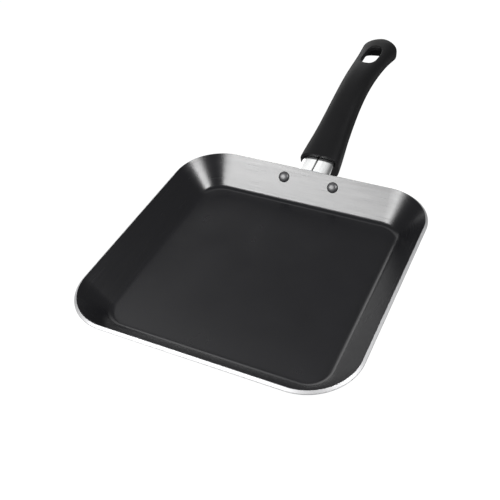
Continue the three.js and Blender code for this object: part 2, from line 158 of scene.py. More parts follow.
def tray_tree():
    """Sweeps the object's own section line round a rounded square and closes the floor at both ends."""
    tree = bpy.data.node_groups.new("swept_tray", "GeometryNodeTree")
    for name, kind in (
        ("Section", "Geometry"),
        ("Floor Width", "Float"),
        ("Corner Radius", "Float"),
        ("Corner Steps", "Int"),
        ("Low Floor", "Float"),
        ("High Floor", "Float"),
        ("Finish", "Material"),
    ):
        tree.interface.new_socket(name, in_out="INPUT", socket_type="NodeSocket" + kind)
    tree.interface.new_socket("Tray", in_out="OUTPUT", socket_type="NodeSocketGeometry")
    given = add(tree, "NodeGroupInput").outputs
    square = add(
        tree,
        "GeometryNodeCurvePrimitiveQuadrilateral",
        {"Width": given["Floor Width"], "Height": given["Floor Width"]},
    )
    path = add(
        tree,
        "GeometryNodeFilletCurve",
        {"Curve": square.outputs[0], "Count": given["Corner Steps"], "Radius": given["Corner Radius"]},
        mode="POLY",
    )
    section = add(tree, "GeometryNodeMeshToCurve", {"Mesh": given["Section"]})
    wall = add(
        tree,
        "GeometryNodeCurveToMesh",
        {"Curve": path.outputs[0], "Profile Curve": section.outputs[0]},
    )
    wall = add(tree, "GeometryNodeFlipFaces", {"Mesh": wall.outputs[0]})
    floor = add(tree, "GeometryNodeFillCurve", {"Curve": path.outputs[0]}, mode="NGONS")
    joined = add(tree, "GeometryNodeJoinGeometry")
    for height, flipped in (("High Floor", False), ("Low Floor", True)):
        lift = add(tree, "ShaderNodeCombineXYZ", {"Z": given[height]})
        placed = add(
            tree,
            "GeometryNodeTransform",
            {"Geometry": floor.outputs[0], "Translation": lift.outputs[0]},
        )
        if flipped:
            placed = add(tree, "GeometryNodeFlipFaces", {"Mesh": placed.outputs[0]})
        tree.links.new(placed.outputs[0], joined.inputs[0])
    tree.links.new(wall.outputs[0], joined.inputs[0])
    merged = add(tree, "GeometryNodeMergeByDistance", {"Geometry": joined.outputs[0], "Distance": WELD})
    real = add(tree, "GeometryNodeRealizeInstances", {"Geometry": merged.outputs[0]})
    finished = add(
        tree, "GeometryNodeSetMaterial", {"Geometry": real.outputs[0], "Material": given["Finish"]}
    )
    add(tree, "NodeGroupOutput", {"Tray": finished.outputs[0]})
    return tree


def plain_object(name, data):
    """Links a new object for a mesh, a lamp or a camera to the scene."""
    made = bpy.data.objects.new(name, data)
    bpy.context.scene.collection.objects.link(made)
    return made


def grown(name, points, node_group, values):
    """A plain mesh object from a node group applied to a line through the points."""
    line = bpy.data.meshes.new(name + "_line")
    line.from_pydata(points, [(i, i + 1) for i in range(len(points) - 1)], [])
    seed = plain_object(name + "_seed", line)
    modifier = seed.modifiers.new("grow", "NODES")
    modifier.node_group = node_group
    for item in node_group.interface.items_tree:
        if item.in_out == "INPUT" and item.name in values:
            modifier[item.identifier] = values[item.name]
    seed.update_tag()
    evaluated = seed.evaluated_get(bpy.context.evaluated_depsgraph_get())
    mesh = bpy.data.meshes.new_from_object(evaluated)
    bpy.data.objects.remove(seed)
    # A swept curve brings an empty slot ahead of the finish.
    if mesh.materials[0] is None:
        mesh.materials.pop(index=0)
    mesh.name = name
    return plain_object(name, mesh)


def smooth(made, angle):
    """Smooth shading, with edges sharper than an angle in degrees left crisp."""
    made.data.shade_smooth()
    made.data.set_sharp_from_angle(angle=math.radians(angle))


def second_finish(made, material, is_picked):
    """Puts a second material on the faces of a mesh object that a test picks."""
    made.data.materials.append(material)
    for face in made.data.polygons:
        face.material_index = int(is_picked(face))


def quarter_turn(steps):
    """Evenly spaced angles from nothing to a right angle."""
    return [math.pi / 2 * i / steps for i in range(steps + 1)]


def wall_line(depth, steps=14):
    """Floor edge, bend, wall foot and rim of the surface a depth outside the tray's inner face."""
    centre = Vector((floor_edge, SHEET + FLOOR_BEND_RADIUS))
    radius = FLOOR_BEND_RADIUS + depth
    turns = [bend_angle * i / steps for i in range(steps + 1)]
    line = [Vector((flat_edge, SHEET - depth))]
    line += [centre + radius * Vector((math.sin(turn), -math.cos(turn))) for turn in turns]
    return line + [line[-1] + WALL_FOOT * up_the_wall, rim_inner + depth * out_of_wall]


def rounded_corner(corner, before, after, radius, steps=5, side_point=1.8):
    """A rounded corner between two square directions that lead away from it, with a point to each side."""
    centre = corner + radius * (before + after)
    turned = [centre - radius * (math.sin(q) * before + math.cos(q) * after) for q in quarter_turn(steps)]
    return [corner + side_point * radius * before] + turned + [corner + side_point * radius * after]


def sweep_points(line):
    """A section line as the sweep takes it: out from the floor's edge along X, and down along Y."""
    return [(p.x - flat_edge, -p.y, 0) for p in line]


def on_the_rim(face):
    """Whether a face of the tray is on its cut rim, which looks up and outwards."""
    outwards = face.center.xy.normalized()
    return face.normal.z > RIM_LEAST_UP and face.normal.xy.dot(outwards) > RIM_LEAST_OUT


outer = wall_line(SHEET)
inner = wall_line(0)
section = outer[:-1]
section += rounded_corner(outer[-1], -up_the_wall, -out_of_wall, RIM_OUTER_ROUND)
section += rounded_corner(inner[-1], out_of_wall, -up_the_wall, RIM_INNER_ROUND)
section += inner[-2::-1]
swept_tray = tray_tree()
tray_values = {
    "Floor Width": 2 * flat_edge,
    "Corner Radius": flat_corner_radius,
    "Corner Steps": CORNER_STEPS,
}
pan_body = grown(
    "pan_shell",
    sweep_points(section),
    swept_tray,
    tray_values | {"Low Floor": 0.0, "High Floor": SHEET, "Finish": satin_aluminium},
)
smooth(pan_body, angle=40)
second_finish(pan_body, cut_metal("cut_aluminium", "#a6a6a7"), on_the_rim)
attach(pan_body, "root")
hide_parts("pan_body")

# Non-stick lining: a dark fluoropolymer coating over the whole inside, baked on before the rim is cut.
# It is drawn 0.3 mm thick.
LINING = 0.3 * MM
LINING_EDGE_ROUND = 0.15 * MM

# Baked non-stick: nearly black and semi-gloss, so it mirrors the soft lights as broad bands. The brushed
# sheet under it leaves fine level streaks, drawn about 0.9 mm apart so that they show, and the sprayed
# coat has a slight orange peel.
COAT_STREAK_GAP = 0.87 * MM
COAT_STREAK_LENGTH = 33.3 * MM
COAT_PEEL = 1.43 * MM
nonstick, tree = new_material("baked_nonstick")
coords = add(tree, "ShaderNodeTexCoord").outputs["Object"]
squeeze = add(
    tree,
    "ShaderNodeMapping",
    {"Vector": coords, "Scale": (1 / COAT_STREAK_LENGTH, 1 / COAT_STREAK_LENGTH, 1 / COAT_STREAK_GAP)},
)
streaks = add(tree, "ShaderNodeTexNoise", {"Vector": squeeze.outputs[0], "Scale": 1, "Detail": 4})
peel = add(tree, "ShaderNodeTexNoise", {"Vector": coords, "Scale": 1 / COAT_PEEL, "Detail": 2})
rough = add(
    tree,
    "ShaderNodeMapRange",
    {
        "Value": streaks.outputs[0],
        "From Min": NOISE_LOW,
        "From Max": NOISE_HIGH,
        "To Min": 0.235,
        "To Max": 0.275,
    },
)
skin = add(tree, "ShaderNodeBump", {"Height": peel.outputs[0], "Strength": 0.05, "Distance": 0.3 * MM})
relief = add(
    tree,
    "ShaderNodeBump",
    {"Height": streaks.outputs[0], "Strength": 0.03, "Distance": 0.28 * MM, "Normal": skin.outputs[0]},
)
shader = add(
    tree,
    "ShaderNodeBsdfPrincipled",
    {
        "Base Color": linear("#0f0f11"),
        "Roughness": rough.outputs[0],
        "IOR": 1.4,
        "Normal": relief.outputs[0],
    },
)
add(tree, "ShaderNodeOutputMaterial", {"Surface": shader.outputs[0]})

inside = wall_line(-LINING)
section = wall_line(0)
section += rounded_corner(inside[-1], out_of_wall, -up_the_wall, LINING_EDGE_ROUND, steps=3)
section += inside[-2::-1]
lining = grown(
    "nonstick_skin",
    sweep_points(section),
    swept_tray,
    tray_values | {"Low Floor": SHEET, "High Floor": SHEET + LINING, "Finish": nonstick},
)
smooth(lining, angle=40)
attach(lining, "root")
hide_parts("nonstick_lining")

# Rivets: two solid aluminium rivets through the rear wall and the bracket's ears, 48 mm apart. Their
# domed heads lie under the coating inside the tray, and their tails are set behind the ears.
GAP = 0.3 * MM
RIVET_SPACING = 48 * MM
RIVET_HEIGHT = 20 * MM
SHANK_RADIUS = 2.5 * MM
HEAD_RADIUS = 5 * MM
HEAD_RISE = 2.8 * MM
HEAD_UNDERCUT = 0.2 * MM
HEAD_EDGE = 0.08
HEAD_FULLNESS = 0.75
TAIL_RADIUS = 4.6 * MM
TAIL_RISE = 2 * MM
TAIL_FLAT = 0.55
TAIL_CROWN = 0.65
COAT_END = 0.1 * MM
HEAD_STEPS = 20
TAIL_STEPS = 6
LATHE_RADIUS = 1 * MM
LATHE_STEPS = 48
BRACKET_SHEET = 1.5 * MM
rivet_reach = rim_inner.x - (PAN_HEIGHT - RIVET_HEIGHT) * math.tan(WALL_FLARE)
wall_frame = Matrix.Translation((0, rivet_reach, RIVET_HEIGHT)) @ Matrix.Rotation(bend_angle, 4, "X")
ear_inner = -SHEET - GAP
ear_outer = ear_inner - BRACKET_SHEET
head_seat = LINING + GAP
tail_seat = ear_outer - GAP


def rivet_tree():
    """Turns the object's own half section about Z and sets one copy at each end of the spacing."""
    tree = bpy.data.node_groups.new("set_rivets", "GeometryNodeTree")
    for name, kind in (
        ("Half Section", "Geometry"),
        ("Lathe Radius", "Float"),
        ("Lathe Steps", "Int"),
        ("Spacing", "Float"),
        ("Wall Place", "Vector"),
        ("Wall Turn", "Rotation"),
        ("Finish", "Material"),
    ):
        tree.interface.new_socket(name, in_out="INPUT", socket_type="NodeSocket" + kind)
    tree.interface.new_socket("Rivets", in_out="OUTPUT", socket_type="NodeSocketGeometry")
    given = add(tree, "NodeGroupInput").outputs
    path = add(
        tree,
        "GeometryNodeCurvePrimitiveCircle",
        {"Resolution": given["Lathe Steps"], "Radius": given["Lathe Radius"]},
        mode="RADIUS",
    )
    section = add(tree, "GeometryNodeMeshToCurve", {"Mesh": given["Half Section"]})
    turned = add(
        tree,
        "GeometryNodeCurveToMesh",
        {"Curve": path.outputs[0], "Profile Curve": section.outputs[0]},
    )
    turned = add(tree, "GeometryNodeFlipFaces", {"Mesh": turned.outputs[0]})
    closed = add(tree, "GeometryNodeMergeByDistance", {"Geometry": turned.outputs[0], "Distance": WELD})
    half = add(tree, "ShaderNodeMath", {0: given["Spacing"], 1: -0.5}, operation="MULTIPLY")
    start = add(tree, "ShaderNodeCombineXYZ", {"X": half.outputs[0]})
    step = add(tree, "ShaderNodeCombineXYZ", {"X": given["Spacing"]})
    places = add(
        tree,
        "GeometryNodeMeshLine",
        {"Count": 2, "Start Location": start.outputs[0], "Offset": step.outputs[0]},
    )
    copies = add(
        tree,
        "GeometryNodeInstanceOnPoints",
        {"Points": places.outputs[0], "Instance": closed.outputs[0]},
    )
    placed = add(
        tree,
        "GeometryNodeTransform",
        {
            "Geometry": copies.outputs[0],
            "Translation": given["Wall Place"],
            "Rotation": given["Wall Turn"],
        },
    )
    real = add(tree, "GeometryNodeRealizeInstances", {"Geometry": placed.outputs[0]})
    finished = add(
        tree, "GeometryNodeSetMaterial", {"Geometry": real.outputs[0], "Material": given["Finish"]}
    )
    add(tree, "NodeGroupOutput", {"Rivets": finished.outputs[0]})
    return tree


# Rivet coat: the same coating, sprayed thin over the domes, where it stays more matte.
rivet_coat, tree = new_material("rivet_coat")
shader = add(
    tree,
    "ShaderNodeBsdfPrincipled",
    {"Base Color": linear("#2a2a2c"), "Roughness": 0.42, "IOR": 1.62},
)
add(tree, "ShaderNodeOutputMaterial", {"Surface": shader.outputs[0]})


def tail_point(turn):
    """A point on the rounded edge of a rivet's tail, as a radius and a height."""
    radius = TAIL_RADIUS * (TAIL_FLAT + (1 - TAIL_FLAT) * math.sin(turn))
    return Vector((radius, tail_seat - TAIL_RISE * (1 - TAIL_CROWN + TAIL_CROWN * math.cos(turn))))


def head_point(turn):
    """A point on the dome of a rivet's head, as a radius and a height."""
    radius = HEAD_RADIUS * math.cos(turn) ** HEAD_FULLNESS
    return Vector((radius, head_seat + HEAD_RISE * (HEAD_EDGE + (1 - HEAD_EDGE) * math.sin(turn))))


tail_end = tail_seat - TAIL_RISE
half_section = [Vector((0, tail_end)), Vector((TAIL_RADIUS * TAIL_FLAT, tail_end))]
half_section += [tail_point(turn) for turn in quarter_turn(TAIL_STEPS)[1:]]
half_section += [Vector((TAIL_RADIUS, tail_seat)), Vector((SHANK_RADIUS, tail_seat))]
half_section += [Vector((SHANK_RADIUS, head_seat)), Vector((HEAD_RADIUS - HEAD_UNDERCUT, head_seat))]
half_section += [head_point(turn) for turn in quarter_turn(HEAD_STEPS)]
# The lathe sweeps the section along a small circle, so radii count from that circle.
rivets = grown(
    "wall_rivets",
    [(p.x - LATHE_RADIUS, -p.y, 0) for p in half_section],
    rivet_tree(),
    {
        "Lathe Radius": LATHE_RADIUS,
        "Lathe Steps": LATHE_STEPS,
        "Spacing": RIVET_SPACING,
        "Wall Place": wall_frame.to_translation(),
        "Wall Turn": wall_frame.to_euler(),
        "Finish": rivet_coat,
    },
)
smooth(rivets, angle=40)
into_wall = wall_frame.inverted()
second_finish(rivets, satin_aluminium, lambda face: (into_wall @ face.center).z < head_seat - COAT_END)
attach(rivets, "root")
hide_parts("rivet_left", "rivet_right")

# Bracket: one steel sheet folded round into a flat oval neck whose edges meet in a seam on top, with an
# ear turned out on each side against the rear wall. The neck is polished, and runs 36 mm into the grip.
EAR_RADIUS = 8.5 * MM
NECK_RISE = math.radians(11.5)
NECK_HALF_WIDTH = 15.5 * MM
NECK_HALF_HEIGHT = 5 * MM
NECK_TOP_SQUARENESS = 2.5
NECK_UNDER_SQUARENESS = 3
NECK_LIFT = 2.75 * MM
NECK_INSERT = 36 * MM
NECK_TAPER = 4.5 * MM
NECK_STRAIGHT = 3 * MM
NECK_END_CORNER = 3 * MM
NECK_CUT_FROM = -10 * MM
NECK_CUT_TO = 60 * MM
SEAM = 0.6 * MM
SEAM_LIP = 0.8 * MM
NEAR_WALL = 0.8 * MM
BRACKET_EDGE = 0.3 * MM
CUT_END_FACING = 0.9
MOUTH_FROM_RIM = 18.6 * MM
MOUTH_BELOW_RIM = 6 * MM
mouth = Vector((PAN_HALF + MOUTH_FROM_RIM, PAN_HEIGHT - MOUTH_BELOW_RIM))
neck_place = Vector(
    (0, mouth.x - NECK_LIFT * math.sin(NECK_RISE), mouth.y + NECK_LIFT * math.cos(NECK_RISE))
)
neck_frame = Matrix.Translation(neck_place) @ Matrix.Rotation(math.pi / 2 + NECK_RISE, 4, "X")

# Polished steel: bright, with faint lines drawn out along the neck by the buffing wheel. They are drawn
# about 0.6 mm apart so that they show.
STEEL_LINE_GAP = 0.625 * MM
STEEL_LINE_LENGTH = 25 * MM
polished_steel, tree = new_material("polished_steel")
coords = add(tree, "ShaderNodeTexCoord").outputs["Object"]
squeeze = add(
    tree,
    "ShaderNodeMapping",
    {"Vector": coords, "Scale": (1 / STEEL_LINE_GAP, 1 / STEEL_LINE_LENGTH, 1 / STEEL_LINE_LENGTH)},
)
lines = add(tree, "ShaderNodeTexNoise", {"Vector": squeeze.outputs[0], "Scale": 1, "Detail": 3})
rough = add(
    tree,
    "ShaderNodeMapRange",
    {
        "Value": lines.outputs[0],
        "From Min": NOISE_LOW,
        "From Max": NOISE_HIGH,
        "To Min": 0.14,
        "To Max": 0.24,
    },
)
relief = add(tree, "ShaderNodeBump", {"Height": lines.outputs[0], "Strength": 0.06, "Distance": 0.1 * MM})
shader = add(
    tree,
    "ShaderNodeBsdfPrincipled",
    {
        "Base Color": linear("#dcdddd"),
        "Metallic": 1.0,
        "Roughness": rough.outputs[0],
        "Normal": relief.outputs[0],
    },
)
add(tree, "ShaderNodeOutputMaterial", {"Surface": shader.outputs[0]})


def arc(cx, cy, radius, start, end, steps):
    """Points of an arc between two angles in degrees."""
    turns = [math.radians(start + (end - start) * i / steps) for i in range(steps + 1)]
    return [(cx + radius * math.cos(turn), cy + radius * math.sin(turn)) for turn in turns]


def superellipse(power, lower_power=None, count=96):
    """Points round a superellipse with half axes of 1, whose lower half may be squarer."""
    points = []
    for i in range(count):
        turn = 2 * math.pi * i / count
        c, s = math.cos(turn), math.sin(turn)
        bend = 2 / (power if s > 0 else lower_power or power)
        points.append((math.copysign(abs(c) ** bend, c), math.copysign(abs(s) ** bend, s)))
    return points


def neck_points(margin):
    """Points round the neck, grown by a margin, from the middle of its top towards the left."""
    points = superellipse(NECK_TOP_SQUARENESS, NECK_UNDER_SQUARENESS)
    quarter = len(points) // 4
    w, h = NECK_HALF_WIDTH + margin, NECK_HALF_HEIGHT + margin
    return [(w * x, h * y) for x, y in points[quarter:] + points[:quarter]]


def neck_outline():
    """The folded neck's section: outside from the seam's left edge round to its right, and back inside."""
    edge = arc(SEAM / 2 + SEAM_LIP, NECK_HALF_HEIGHT - SEAM_LIP, SEAM_LIP, 90, 180, steps=6)
    edge.append((SEAM / 2, NECK_HALF_HEIGHT - BRACKET_SHEET))
    far_edge = [(-x, y) for x, y in edge[::-1]]
    return far_edge + neck_points(0)[1:] + edge + neck_points(-BRACKET_SHEET)[:0:-1]


def drawn_in(x, z, margin=0.0):
    """Where a point of the neck at a width lies once the insert is drawn in towards its end."""
    share = max(0, -z - NECK_STRAIGHT) / (NECK_INSERT - NECK_STRAIGHT)
    return x * (1 - NECK_TAPER * share / (NECK_HALF_WIDTH + margin))


def neck_ring(margin, z):
    """The neck's outline grown by a margin, without seam or inside, at a place along the neck."""
    return [neck_frame @ Vector((drawn_in(x, z, margin), y, z)) for x, y in neck_points(margin)]


def joined_rings(bm, rings):
    """Joins rings of points in matching order by faces, and gives the rings of vertices."""
    levels = [[bm.verts.new(p) for p in ring] for ring in rings]
    count = len(rings[0])
    for low, high in zip(levels, levels[1:]):
        for i in range(count):
            j = (i + 1) % count
            bm.faces.new((low[i], low[j], high[j], high[i]))
    return levels


def prism(bm, *outlines):
    """A closed prism through outlines, with one face at each end."""
    levels = joined_rings(bm, outlines)
    bm.faces.new(levels[0][::-1])
    bm.faces.new(levels[-1])


def closed_object(name, bm):
    """A mesh object from closed shells, with their faces turned outwards."""
    bmesh.ops.recalc_face_normals(bm, faces=bm.faces)
    mesh = bpy.data.meshes.new(name)
    bm.to_mesh(mesh)
    bm.free()
    return plain_object(name, mesh)


def stacked(name, rings):
    """A closed mesh object from a stack of rings, with a fan of faces at each end."""
    bm = bmesh.new()
    levels = joined_rings(bm, rings)
    count = len(rings[0])
    for ring in (levels[0][::-1], levels[-1]):
        middle = bm.verts.new(sum((v.co for v in ring), Vector()) / count)
        for i in range(count):
            bm.faces.new((middle, ring[i], ring[(i + 1) % count]))
    return closed_object(name, bm)


def settle(made):
    """Makes a mesh object's modifiers part of its mesh for good."""
    evaluated = made.evaluated_get(bpy.context.evaluated_depsgraph_get())
    settled = bpy.data.meshes.new_from_object(evaluated)
    made.modifiers.clear()
    made.data = settled


def bevelled(made, width, angle, segments=3):
    """Rounds the edges of a mesh object that are sharper than an angle in degrees."""
    bevel = made.modifiers.new("edge", "BEVEL")
    bevel.width = width
    bevel.segments = segments
    bevel.limit_method = "ANGLE"
    bevel.angle_limit = math.radians(angle)
    settle(made)


def cut_away(made, cutters):
    """Cuts mesh objects out of another, and removes them."""
    for cutter in cutters:
        cut = made.modifiers.new(cutter.name, "BOOLEAN")
        cut.operation = "DIFFERENCE"
        cut.solver = "EXACT"
        cut.object = cutter
    settle(made)
    for cutter in cutters:
        bpy.data.objects.remove(cutter)


ear_root = NECK_HALF_WIDTH / 2
ear = [(ear_root, -EAR_RADIUS)]
ear += arc(RIVET_SPACING / 2, 0, EAR_RADIUS, -90, 90, steps=24)
ear.append((ear_root, EAR_RADIUS))
bm = bmesh.new()
for side in (-1, 1):
    prism(
        bm,
        [wall_frame @ Vector((side * x, y, ear_outer)) for x, y in ear],
        [wall_frame @ Vector((side * x, y, ear_inner)) for x, y in ear],
    )
ears = closed_object("bracket_ears", bm)
mid_sheet = -BRACKET_SHEET / 2
neck_cut = [neck_ring(mid_sheet, NECK_CUT_FROM), neck_ring(mid_sheet, NECK_CUT_TO)]
cut_away(ears, [stacked("neck_cutter", neck_cut)])

bm = bmesh.new()
bm.from_mesh(ears.data)
bpy.data.objects.remove(ears)
plane_point = wall_frame @ Vector((0, 0, ear_inner))
plane_normal = wall_frame.to_3x3() @ Vector((0, 0, 1))
neck_axis = neck_frame.to_3x3() @ Vector((0, 0, 1))
end_ring, straight_ring, near_ring, wall_ring = [], [], [], []
for x, y in neck_outline():
    inset = max(0, abs(x) - (NECK_HALF_WIDTH - NECK_END_CORNER)) - NECK_INSERT
    start = neck_frame @ Vector((x, y, -NECK_STRAIGHT))
    run = (plane_point - start).dot(plane_normal) / neck_axis.dot(plane_normal)
    end_ring.append(neck_frame @ Vector((drawn_in(x, inset), y, inset)))
    straight_ring.append(start)
    near_ring.append(start + (run - NEAR_WALL) * neck_axis)
    wall_ring.append(start + run * neck_axis)
prism(bm, end_ring, straight_ring, near_ring, wall_ring)
bracket = closed_object("folded_bracket", bm)
bevelled(bracket, BRACKET_EDGE, angle=40)
bracket.data.materials.append(polished_steel)
second_finish(
    bracket,
    cut_metal("cut_steel", "#8e9093"),
    lambda face: face.normal.dot(plane_normal) > CUT_END_FACING,
)
smooth(bracket, angle=35)
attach(bracket, "root")
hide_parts("handle_bracket")

# Grip: a black phenolic moulding, arched and waisted for the hand, with a socket over the neck and a
# counterbore for its screw underneath. The tail is hollow from below, which keeps its walls even, and
# the hanging hole goes through its top with a rolled lip.
TIP_FROM_MOUTH = Vector((188, 25.8)) * MM
GRIP_RISE = math.radians(17)
MOUTH_LEAD = 87.3 * MM
MOUTH_LEAN = 30 * MM
TIP_LEAD = 102.2 * MM
TIP_DROP = math.radians(5.4)
CENTRELINE_STEPS = 800
TANGENT_REACH = 4
# Three rows in millimetres, at even steps along the centreline from the mouth to the tip.
HALF_WIDTHS = [19.1, 15.7, 14.1, 14.3, 16.2, 19.4]
TOP_HEIGHTS = [11.5, 10.7, 10.2, 9.9, 8.6, 10.8]
UNDER_HEIGHTS = [16.2, 13.9, 11.1, 8.7, 7.6, 9.9]
TOP_SQUARENESS = 2.7
UNDER_SQUARENESS = 3.8
TIP_ROUND = 14.3 * MM
TIP_EDGE = 0.78
TIP_LEAST_WIDTH = 0.12
MOUTH_EDGE = 0.25 * MM
MOUTH_EDGE_STEPS = 6
BODY_STEPS = 120
TIP_STEPS = 26
HOLLOW_LENGTH = 88 * MM
HOLLOW_ROUND = 14 * MM
HOLLOW_WALL = 3.4 * MM
HOLLOW_SKIN = 4.2 * MM
HOLLOW_SQUARENESS = 5
HOLLOW_LEAST_WIDTH = 0.04
HOLLOW_STEPS = 64
HOLE_FROM_TIP = 40.5 * MM
HOLE_HALF_LENGTH = 18.5 * MM
HOLE_HALF_WIDTH = 7.4 * MM
HOLE_SQUARENESS = 2.8
HOLE_LIP = 2 * MM
LIP_STEPS = 8
LIP_OVERCUT = 0.15 * MM
LIP_CUT_FLARE = 2.5 * MM
LIP_CUT_LOW = 1.5 * MM
LIP_CUT_HIGH = 9 * MM
WITHIN_SIDE = 0.999
SOCKET_CHAMFER = 0.6 * MM
SOCKET_CUT_OUT = 3.4 * MM
SCREW_FROM_MOUTH = 19 * MM
SCREW_HOLE_RADIUS = 2.8 * MM
SCREW_SEAT_WALL = 1.8 * MM
WASHER_RADIUS = 4.8 * MM
BORE_CUT_DOWN = 30 * MM

# Satin phenolic: near black, with a fine moulded grain about 0.45 mm across that breaks up highlights,
# and slow flow marks that vary its tone and gloss. Its IOR is matched to the faint sheen of the real
# grip, and lies under the 1.6 of a polished moulding.
PHENOLIC_GRAIN = 0.455 * MM
PHENOLIC_FLOW = 22.2 * MM
phenolic, tree = new_material("satin_phenolic")
coords = add(tree, "ShaderNodeTexCoord").outputs["Object"]
grain = add(tree, "ShaderNodeTexNoise", {"Vector": coords, "Scale": 1 / PHENOLIC_GRAIN, "Detail": 3})
flow = add(tree, "ShaderNodeTexNoise", {"Vector": coords, "Scale": 1 / PHENOLIC_FLOW, "Detail": 3})
tone = add(
    tree,
    "ShaderNodeMix",
    {"Factor": flow.outputs[0], "A": linear("#0b0b0c"), "B": linear("#0f0f10")},
    data_type="RGBA",
)
rough = add(
    tree,
    "ShaderNodeMapRange",
    {
        "Value": flow.outputs[0],
        "From Min": NOISE_LOW,
        "From Max": NOISE_HIGH,
        "To Min": 0.48,
        "To Max": 0.56,
    },
)
relief = add(tree, "ShaderNodeBump", {"Height": grain.outputs[0], "Strength": 0.15, "Distance": 0.2 * MM})
shader = add(
    tree,
    "ShaderNodeBsdfPrincipled",
    {
        "Base Color": tone.outputs["Result"],
        "Roughness": rough.outputs[0],
        "IOR": 1.2,
        "Normal": relief.outputs[0],
    },
)
add(tree, "ShaderNodeOutputMaterial", {"Surface": shader.outputs[0]})

tip = mouth + TIP_FROM_MOUTH
mouth_lead = mouth + MOUTH_LEAD * Vector((math.cos(GRIP_RISE), math.sin(GRIP_RISE)))
tip_lead = tip + TIP_LEAD * Vector((-math.cos(TIP_DROP), math.sin(TIP_DROP)))


def bezier(t):
    """A point on the grip's centreline, as Y and Z."""
    u = 1 - t
    return u**3 * mouth + 3 * u * u * t * mouth_lead + 3 * u * t * t * tip_lead + t**3 * tip


centreline = [bezier(i / CENTRELINE_STEPS) for i in range(CENTRELINE_STEPS + 1)]
lengths = [0]
for a, b in zip(centreline, centreline[1:]):
    lengths.append(lengths[-1] + (b - a).length)
grip_length = lengths[-1]


def station(run):
    """Centre and upward direction a length along the centreline, leaning to the neck's first."""
    run = min(max(run, 0), grip_length)
    i = min(bisect_right(lengths, run) - 1, len(lengths) - 2)
    share = (run - lengths[i]) / (lengths[i + 1] - lengths[i])
    centre = centreline[i].lerp(centreline[i + 1], share)
    low = max(i - TANGENT_REACH, 0)
    high = min(i + 1 + TANGENT_REACH, len(centreline) - 1)
    lean = (NECK_RISE - GRIP_RISE) * max(0, 1 - run / MOUTH_LEAN) ** 2
    tangent = Matrix.Rotation(lean, 2) @ (centreline[high] - centreline[low]).normalized()
    return centre, Vector((-tangent.y, tangent.x))


def along(values, run):
    """A smooth value along the grip through evenly spaced ones in millimetres."""
    place = min(max(run / grip_length, 0), 1) * (len(values) - 1)
    i = min(int(place), len(values) - 2)
    p = [values[min(max(k, 0), len(values) - 1)] for k in range(i - 1, i + 3)]
    t = place - i
    slope, next_slope = (p[2] - p[0]) / 2, (p[3] - p[1]) / 2
    value = (2 * p[1] - 2 * p[2] + slope + next_slope) * t**3
    value += (3 * p[2] - 3 * p[1] - 2 * slope - next_slope) * t * t + slope * t + p[1]
    return value * MM


def grip_ring(run, inset=0.0):
    """A cross-section of the grip, drawn in by an inset all round."""
    centre, up = station(run)
    into_tip = min(max(1 - (grip_length - run) / TIP_ROUND, 0), 1)
    plan = math.sqrt(max(0, 1 - into_tip**2))
    thinning = TIP_EDGE + (1 - TIP_EDGE) * plan
    half_width = along(HALF_WIDTHS, run) * max(plan, TIP_LEAST_WIDTH) - inset
    above = along(TOP_HEIGHTS, run) * thinning - inset
    below = along(UNDER_HEIGHTS, run) * thinning - inset
    ring = []
    for x, y in superellipse(TOP_SQUARENESS, UNDER_SQUARENESS):
        yz = centre + up * (y * (above if y > 0 else below))
        ring.append(Vector((-half_width * x, yz.x, yz.y)))
    return ring


rings = []
for turn in quarter_turn(MOUTH_EDGE_STEPS)[:-1]:
    rings.append(grip_ring(MOUTH_EDGE * (1 - math.cos(turn)), MOUTH_EDGE * (1 - math.sin(turn))))
body_length = grip_length - TIP_ROUND - MOUTH_EDGE
for i in range(BODY_STEPS):
    rings.append(grip_ring(MOUTH_EDGE + body_length * i / BODY_STEPS))
for turn in quarter_turn(TIP_STEPS):
    rings.append(grip_ring(grip_length - TIP_ROUND * (1 - math.sin(turn))))
grip = stacked("moulded_grip", rings)


def hollow_ring(run):
    """A cross-section of the hollow under the tail, open below the grip's underside."""
    end = grip_length - HOLLOW_WALL
    into_tip = max(0, 1 - (end - run) / (TIP_ROUND - HOLLOW_WALL))
    into_front = max(0, 1 - (run - end + HOLLOW_LENGTH) / HOLLOW_ROUND)
    plan = math.sqrt(max(0, (1 - into_tip**2) * (1 - into_front**2)))
    half_width = (along(HALF_WIDTHS, run) - HOLLOW_WALL) * max(plan, HOLLOW_LEAST_WIDTH)
    roof = along(TOP_HEIGHTS, run) - HOLLOW_SKIN
    depth = roof + 2 * along(UNDER_HEIGHTS, run)
    centre, up = station(run)
    ring = []
    for x, y in superellipse(HOLLOW_SQUARENESS):
        yz = centre + up * (roof + depth * (y - 1) / 2)
        ring.append(Vector((-half_width * x, yz.x, yz.y)))
    return ring


hollow_runs = [
    grip_length - HOLLOW_WALL - HOLLOW_LENGTH * (0.5 + 0.5 * math.cos(math.pi * i / HOLLOW_STEPS))
    for i in range(HOLLOW_STEPS + 1)
]
hollow_cutter = stacked("hollow_cutter", [hollow_ring(run) for run in hollow_runs])


def hole_ring(depth, grow):
    """A ring of the hanging hole a depth under the grip's top, opened by an amount."""
    ring = []
    for x, y in superellipse(HOLE_SQUARENESS):
        run = grip_length - HOLE_FROM_TIP + (HOLE_HALF_LENGTH + grow) * y
        x = (HOLE_HALF_WIDTH + grow) * x
        centre, up = station(run)
        share = min(abs(x) / along(HALF_WIDTHS, run), WITHIN_SIDE)
        height = along(TOP_HEIGHTS, run) * (1 - share**TOP_SQUARENESS) ** (1 / TOP_SQUARENESS)
        yz = centre + up * (height - depth)
        ring.append(Vector((x, yz.x, yz.y)))
    return ring


